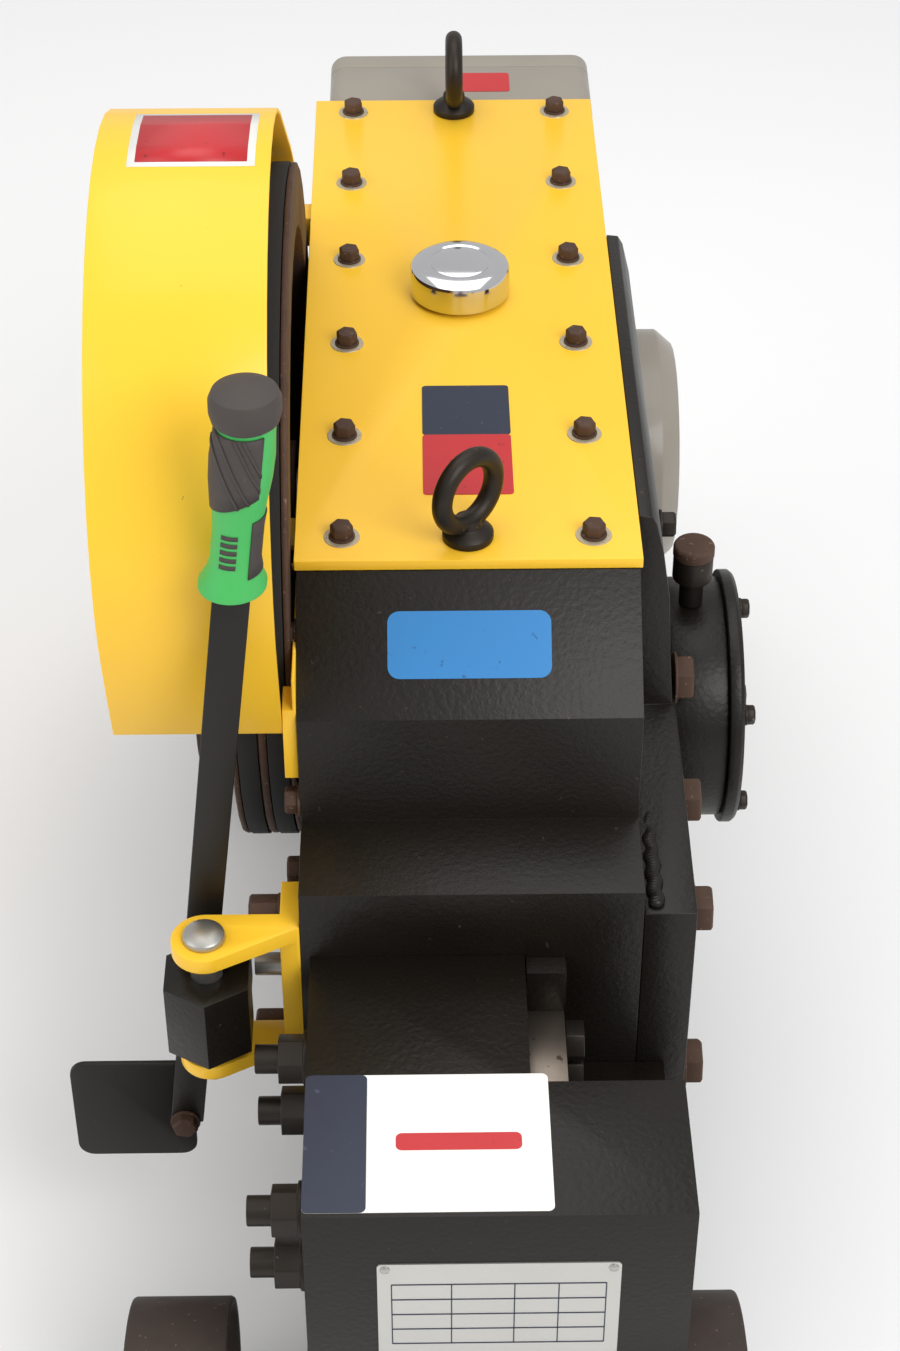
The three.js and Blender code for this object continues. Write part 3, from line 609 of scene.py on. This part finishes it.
@dataclass
class Castings:
    """Black castings, their big bolts, the weld and the stickers on them."""

    bolt: HexBolt = field(default_factory=lambda: HexBolt(30, 14, 19))
    upper: HexBolt = field(default_factory=lambda: HexBolt(17, 12, 11, BLACKED_STEEL))
    screw: HexBolt = field(default_factory=lambda: HexBolt(13, 8, 8, BLACKED_STEEL))
    plug: HexBolt = field(default_factory=lambda: HexBolt(17, 14, 10))
    wall: HexBolt = field(default_factory=lambda: HexBolt(17, 11, 12))
    bracket: HexBolt = field(default_factory=lambda: HexBolt(24, 22, 14.5))
    screws: int = 6
    screw_circle: float = 85.0  # radius of the circle that the end cover's screws stand on
    nose_run: float = 76.0  # how far the nose slopes forward
    nose_rise: float = 67.7  # how far it falls over that run
    weld_drops: int = 76
    weld_pitch: float = 2.3

    def build(self) -> None:
        """Build the castings' pieces."""
        for node in ("gear_housing", "side_plate_right", "front_head", "ram"):
            refine(node, CAST_ENAMEL, Edge.CASTING)
        for node in ("crank_bearing_cover_left", "intermediate_cap_left", "input_bearing_cover_left"):
            refine(node, CAST_ENAMEL, Edge.FORGING)
        self._bearing()
        self._cheek()
        self._left_wall()
        self._stickers()
        self._weld()

    def _bearing(self) -> None:
        """Build the round bearing housing, its cover and their screws."""
        refine("crank_bearing_housing_right", CAST_ENAMEL, Edge.FORGING)
        low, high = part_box("crank_end_cover_right")
        centre = middle("crank_end_cover_right")
        cover = turned([(97, 0), (97.5, 1), (97.5, 8), (95, 11), (52, 11.3), (48, 8.5), (10, 8.5)], 96)
        round_edges(cover, 0.4)
        move(cover, Facing.RIGHT, Vector((low[0], centre.y, centre.z)))
        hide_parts("crank_end_cover_right")
        settle(cover, "crank_cover_disc", CAST_ENAMEL, "body")
        reach = self.screw_circle * MM
        for i in range(self.screws):
            a = math.radians(30 + 360 / self.screws * i)
            aside, up = reach * math.cos(a), reach * math.sin(a)
            spot = Vector((high[0] - 0.5 * MM, centre.y + aside, centre.z + up))
            self.screw.build(f"crank_cover_screw_{i + 1}", Facing.RIGHT, spot, "body", i)
        plug = Vector((low[0] + 8.5 * MM, centre.y, centre.z))
        self.plug.build("crank_cover_plug", Facing.RIGHT, plug, "body")

    def _cheek(self) -> None:
        """Bolt the thick side plate to the housing."""
        low, high = (Vector(v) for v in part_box("side_plate_right"))
        spots = {  # millimetres back from the plate's front, and height in metres
            "top": (225, 0.434),
            "middle": (136, 0.394),
            "front_top": (35, 0.385),
            "front_bottom": (22, 0.245),
        }
        for name, (back, height) in spots.items():
            place = Vector((high.x, low.y + back * MM, height))
            self.bolt.build(f"cheek_bolt_{name}", Facing.RIGHT, place, "body")
        place = Vector((high.x - 12.5 * MM, low.y + 270 * MM, 0.54))
        self.upper.build("cheek_bolt_upper", Facing.RIGHT, place, "body")

    def _left_wall(self) -> None:
        """Bolt the guard side of the housing and the lever bracket."""
        low, _ = (Vector(v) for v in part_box("gear_housing"))
        # millimetres back from the housing's front, and height in metres
        spots = ((130, 0.552), (112, 0.500), (112, 0.455), (84, 0.445), (70, 0.392))
        for i, (back, height) in enumerate(spots):
            place = Vector((low.x, low.y + back * MM, height))
            self.wall.build(f"wall_bolt_{i + 1}", Facing.LEFT, place, "body")
        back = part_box("lever_bracket")[1][1]
        for i, height in enumerate((0.388, 0.275)):
            place = Vector((low.x - 14 * MM, back - 15.5 * MM, height))
            self.bracket.build(f"bracket_bolt_{i + 1}", Facing.LEFT, place, "body")

    def _stickers(self) -> None:
        """Put plain stickers and a ruled plate where the machine carries its labels."""
        low, high = (Vector(v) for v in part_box("front_head"))
        top = Vector((low.x + 78.5 * MM, low.y + 60 * MM, high.z))
        for name, finish, size, shift, lift in (
            ("panel", WHITE_VINYL, (157, 113), 0, 0.1),
            ("band", NAVY_VINYL, (40, 113), -58.5, 0.4),
            ("stripe", RED_VINYL, (80, 14), 20, 0.4),
        ):
            plate = slab(*size, 0.4, 4)
            move(plate, Facing.UP, top + Vector((shift, 0, lift)) * MM)
            settle(plate, f"head_sticker_{name}", finish, "body")
        plate = slab(154, 100, 1.0, 3)
        seat = Vector((low.x + 123 * MM, low.y, high.z - 95 * MM))
        move(plate, Facing.FRONT, seat)
        settle(plate, "rating_plate", SILVER_PLATE, "body")
        for i in range(5):
            line = slab(136, 0.8, 0.3, 0.2)
            move(line, Facing.FRONT, seat + Vector((0, -1.0, 30 - 15 * i)) * MM)
            settle(line, f"rating_plate_rule_{i + 1}", NAVY_VINYL, "body")
        for i, x in enumerate((-68, -30, 10, 38, 68)):
            line = slab(0.8, 60, 0.3, 0.2)
            move(line, Facing.FRONT, seat + Vector((x, -1.0, 0)) * MM)
            settle(line, f"rating_plate_column_{i + 1}", NAVY_VINYL, "body")
        for i, (x, z) in enumerate(((-72, 45), (72, 45), (-72, -45), (72, -45))):
            rivet = turned([(3.2, 0), (3.0, 0.8), (2.0, 1.5), (0.8, 1.8)], 24)
            round_edges(rivet, 0.0)
            move(rivet, Facing.FRONT, seat + Vector((x, -1.0, z)) * MM)
            settle(rivet, f"rating_plate_rivet_{i + 1}", BRIGHT_STEEL, "body")
        nose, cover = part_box("gear_housing")[1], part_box("top_cover")[0]
        slope = Matrix.Rotation(math.atan2(self.nose_rise, self.nose_run), 4, "X")
        badge = slab(110, 46, 0.5, 8)
        across = (low.x + high.x) / 2 - 13 * MM
        centre = Vector((across, cover[1] - self.nose_run / 2 * MM, nose[2] - self.nose_rise / 2 * MM))
        badge.data.transform(Matrix.Translation(centre) @ slope)
        settle(badge, "nose_sticker", BLUE_VINYL, "body")

    def _weld(self) -> None:
        """Run a rough weld bead along the top of the side plate."""
        low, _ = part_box("side_plate_right")
        start_clean()
        bpy.ops.mesh.primitive_uv_sphere_add(segments=20, ring_count=12, radius=5.5 * MM)
        drop = bpy.context.object
        pick(drop)
        bpy.ops.transform.resize(value=(1.0, 0.75, 0.7))
        bpy.ops.object.transform_apply()
        bpy.ops.object.shade_smooth()
        drops = [drop]
        for i in range(1, self.weld_drops):
            copy = twin(drop)
            sway, lift = 0.8 * math.sin(0.9 * i), 0.6 * math.cos(0.7 * i)
            wander = Vector((sway, self.weld_pitch * i, lift)) * MM
            copy.data.transform(Matrix.Translation(wander))
            drops.append(copy)
        pick(drop)
        for copy in drops:
            copy.select_set(True)
        bpy.ops.object.join()
        drop.data.transform(Matrix.Translation(Vector((low[0] + 8 * MM, low[1] + 8 * MM, 0.417))))
        settle(drop, "cheek_weld", CAST_ENAMEL, "body")


@dataclass
class Lever:
    """Clutch lever with its bracket, block, pin, paddle and two-part grip."""

    sides: int = 48  # of the grip's body
    reach: float = 75.0  # from the grip's foot to its middle
    bolt: HexBolt = field(default_factory=lambda: HexBolt(17, 9, 11))

    def build(self) -> None:
        """Build the lever's pieces."""
        refine("lever_bracket", YELLOW_ENAMEL, Edge.FORGING)
        refine("lever_block", CAST_ENAMEL, Edge.CASTING)
        refine("lever_bar", BAR_ENAMEL, Edge.SHEET)
        refine("lever_pin", BRIGHT_STEEL, Edge.SHEET)
        refine("clutch_plunger", BRIGHT_STEEL, Edge.SHEET)
        self._paddle()
        self._grip()

    def _paddle(self) -> None:
        """Build the foot plate and the bolt that holds it."""
        low, high = (Vector(v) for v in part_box("lever_paddle"))
        plate = slab((high.x - low.x) / MM, (high.z - low.z) / MM, (high.y - low.y) / MM, 12)
        round_edges(plate, 0.6)
        centre = (low + high) / 2
        move(plate, Facing.FRONT, Vector((centre.x, high.y, centre.z)))
        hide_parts("lever_paddle")
        settle(plate, "foot_paddle", BAR_ENAMEL, "lever")
        seat = Vector((high.x - 6 * MM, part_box("lever_bar")[0][1], low.z + 46 * MM))
        self.bolt.build("foot_paddle_bolt", Facing.FRONT, seat, "lever")

    def _grip(self) -> None:
        """Build the moulded grip: flared foot, waisted body, dark palm inlay and cap."""
        low, high = (Vector(v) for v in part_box("lever_grip"))
        centre = (low + high) / 2
        reach = self.reach * MM
        lean = Matrix.Shear("XY", 4, (0.118, 0.0)) @ Matrix.Translation((0, 0, -reach))
        place = Matrix.Translation(Vector((centre.x, centre.y, low.z + reach))) @ lean
        body = turned([(19, 0), (21.5, 2), (21.5, 6), (17.5, 14), (15.5, 24), (15.5, 48), (17, 66),
                       (19, 84), (19.5, 100), (18.5, 114), (18, 126)], self.sides)
        round_edges(body, 0.0)
        slant = (0.45, 0, -1)
        palm = [*window((-1, 0.011), (-1, 0.004), (0, 0.121)), ((0, 0, 0.072), slant)]
        parts = {"grip_palm": (palm, 0.1, 1.2)}
        for i, x in enumerate((-14, -7, 3, 8)):
            rib = [*palm, ((x * MM, 0, 0.1), (-1, 0, -0.45)), (((x + 1.6) * MM, 0, 0.1), (1, 0, 0.45))]
            parts[f"grip_rib_{i + 1}"] = (rib, 1.4, 0.7)
        for i in range(5):
            foot = (24 + 5.5 * i) * MM
            slot = window((-0.009, 0.001), (-1, 0), (foot, foot + 3 * MM))
            parts[f"grip_vent_{i + 1}"] = (slot, 0.1, 0.5)
        parts["grip_side"] = (window((0.009, 1), (-1, 0.012), (0.016, 0.058)), 0.1, 1.0)
        for name, (planes, lift, thick) in parts.items():
            part = patch(body, planes, lift, thick)
            part.data.transform(place)
            settle(part, name, DARK_GRIP, "lever")
        cap = turned([(17, 122), (20.5, 125), (22, 131), (22, 139), (20, 144), (13, 147), (4, 148)], 64)
        round_edges(cap, 0.0)
        cap.data.transform(Matrix.Shear("XY", 4, (-0.1, 0.0)))
        cap.data.transform(place @ Matrix.Translation((0.012, 0, 0)))
        settle(cap, "grip_cap", DARK_GRIP, "lever")
        body.data.transform(place)
        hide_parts("lever_grip")
        settle(body, "grip_body", GREEN_GRIP, "lever")


@dataclass
class Drive:
    """Guard, flywheel, belts, gears and motor."""

    gears: tuple[str, ...] = ("input_shaft", "intermediate_shaft", "intermediate_gear", "crank_gear",
                              "crankshaft")

    def build(self) -> None:
        """Build the drive's pieces."""
        for node in ("guard_bracket_front", "guard_bracket_rear"):
            refine(node, YELLOW_ENAMEL, Edge.SHEET)
        self._guard()
        refine("flywheel", BROWN_RUST, Edge.FORGING)
        refine("motor_pulley", BLACKED_STEEL, Edge.SHEET)
        for node in self.gears:
            paint(node, GROUND_STEEL)
        for node in ("v_belt_1", "v_belt_2"):
            refine(node, BELT_RUBBER, Edge.SHEET)
        for node in ("motor", "motor_terminal_box", "motor_fan_cowl"):
            refine(node, GREY_ENAMEL, Edge.FORGING)
        paint("connecting_rod", BLACKED_STEEL)
        paint("ram_guide", BRONZE)
        paint("motor_shaft", BRIGHT_STEEL)
        paint("motor_fan", FAN_PLASTIC)

    def _guard(self) -> None:
        """Skin the belt guard and lay a plain sticker over its crown."""
        guard = refine("belt_guard", YELLOW_ENAMEL, Edge.SHEET)
        low, high = (Vector(v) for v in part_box("belt_guard"))
        crown = high.z - 40 * MM
        for name, finish, rim, lift in (("border", WHITE_VINYL, 0, 0.05), ("field", RED_VINYL, 5 * MM, 0.4)):
            x = (low.x + 22 * MM + rim, high.x - 10 * MM - rim)
            y = (low.y + 190 * MM + rim, low.y + 275 * MM - rim)
            sticker = patch(guard, window(x, y, (crown, 1)), lift, 0.3)
            settle(sticker, f"guard_sticker_{name}", finish, "body")


@dataclass
class Cutter:
    """Blades, their bolts and the studs through the head."""

    def build(self) -> None:
        """Build the cutter's pieces."""
        for node in ("fixed_blade", "moving_blade"):
            refine(node, GROUND_STEEL, Edge.SHEET)
        for node in ("blade_bolt_upper", "blade_bolt_lower"):
            refine(node, BLACKED_STEEL, Edge.SHEET)
        for number in range(1, 5):
            refine(f"head_stud_{number}", BLACKED_STEEL, Edge.SHEET)


@dataclass
class Base:
    """Frame, axles, wheels, grease cup and control box."""

    def build(self) -> None:
        """Build the base's pieces."""
        refine("base_frame", BAR_ENAMEL, Edge.SHEET)
        for end in ("front", "rear"):
            refine(f"{end}_axle", BLACKED_STEEL, Edge.SHEET)
            for hand in ("left", "right"):
                self._wheel(f"wheel_{end}_{hand}", hand)
        refine("grease_cup", BLACKED_STEEL, Edge.SHEET)
        refine("grease_cup_cap", BROWN_RUST, Edge.SHEET)
        refine("control_box", GREY_ENAMEL, Edge.SHEET)
        refine("control_box_lid", GREY_ENAMEL, Edge.FORGING)
        refine("start_button", GREEN_BUTTON, Edge.SHEET)
        refine("stop_button", RED_BUTTON, Edge.SHEET)
        self._box_sticker()

    def _box_sticker(self) -> None:
        """Lay a plain sticker on top of the control box."""
        low, high = (Vector(v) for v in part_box("control_box"))
        sticker = slab(46, 34, 0.4, 3)
        move(sticker, Facing.UP, Vector((low.x + 133 * MM, high.y - 30 * MM, high.z + 0.1 * MM)))
        settle(sticker, "control_box_sticker", RED_VINYL, "body")

    def _wheel(self, node: str, hand: str) -> None:
        """Build one steel wheel with a round tread.

        Args:
            node: the CAD node that it stands for.
            hand: left or right, which way its outer face looks.
        """
        low, high = (Vector(v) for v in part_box(node))
        centre = (low + high) / 2
        width = (high.x - low.x) / MM
        wheel = turned([(15.5, 14), (28, 14), (28, 10), (80, 10), (84, 0.5), (89, 0), (90, 2),
                        (90, width - 2), (89, width), (84, width - 0.5), (80, width - 12),
                        (28, width - 12), (28, width - 2), (15.5, width - 2)], 96)
        round_edges(wheel, 0.5)
        facing, x = (Facing.LEFT, high.x) if hand == "left" else (Facing.RIGHT, low.x)
        move(wheel, facing, Vector((x, centre.y, centre.z)))
        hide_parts(node)
        settle(wheel, f"{node}_drum", DRUM_STEEL, body_of(node))


@dataclass
class Studio:
    """Pale floor, soft lights and the camera."""

    lens: float = 71.95
    place: Point = (0.0079, -1.6185, 1.692)
    tilt: float = 50.5
    pan: float = -0.835
    sky: float = 0.62  # strength of the even light from all round

    def build(self) -> None:
        """Build the studio."""
        start_clean()
        bpy.ops.mesh.primitive_plane_add(size=30)
        floor = bpy.context.object
        floor.name = "floor"
        white = bpy.data.materials.new("floor_white")
        white.use_nodes = True
        shader = white.node_tree.nodes["Principled BSDF"]
        shader.inputs["Base Color"].default_value = (0.9, 0.9, 0.9, 1)
        shader.inputs["Roughness"].default_value = 0.8
        floor.data.materials.append(white)
        world = bpy.data.worlds.new("studio")
        world.use_nodes = True
        light_all_round = world.node_tree.nodes["Background"]
        light_all_round.inputs["Color"].default_value = (1, 1, 1, 1)
        light_all_round.inputs["Strength"].default_value = self.sky
        bpy.context.scene.world = world
        bpy.context.scene.view_settings.view_transform = "Standard"
        for name, spot, size, power in (
            ("key", (1.6, -2.2, 2.8), 1.8, 62.0),
            ("fill", (-2.4, -1.2, 2.0), 2.2, 26.0),
            ("top", (0.0, 0.6, 3.2), 2.4, 34.0),
        ):
            light = bpy.data.lights.new(name, "AREA")
            light.size = size
            light.energy = power
            lamp = bpy.data.objects.new(name, light)
            lamp.location = spot
            lamp.rotation_euler = (Vector((0, 0, 0.4)) - Vector(spot)).to_track_quat("-Z", "Y").to_euler()
            bpy.context.scene.collection.objects.link(lamp)
        self._camera()

    def _camera(self) -> None:
        """Set the camera."""
        data = bpy.data.cameras.new("camera")
        data.lens = self.lens
        data.sensor_width = 36
        camera = bpy.data.objects.new("camera", data)
        camera.location = self.place
        camera.rotation_euler = (math.radians(self.tilt), 0, math.radians(self.pan))
        bpy.context.scene.collection.objects.link(camera)
        bpy.context.scene.camera = camera


def main() -> None:
    """Build the studio, then each sub-assembly in turn."""
    logging.basicConfig(level=logging.INFO, format="%(name)s: %(message)s")
    for part in (Studio(), Drive(), Castings(), Cover(), Cutter(), Lever(), Base()):
        part.build()
        log.info("%s built", type(part).__name__)
    start_clean()


if __name__ == "__main__":
    main()
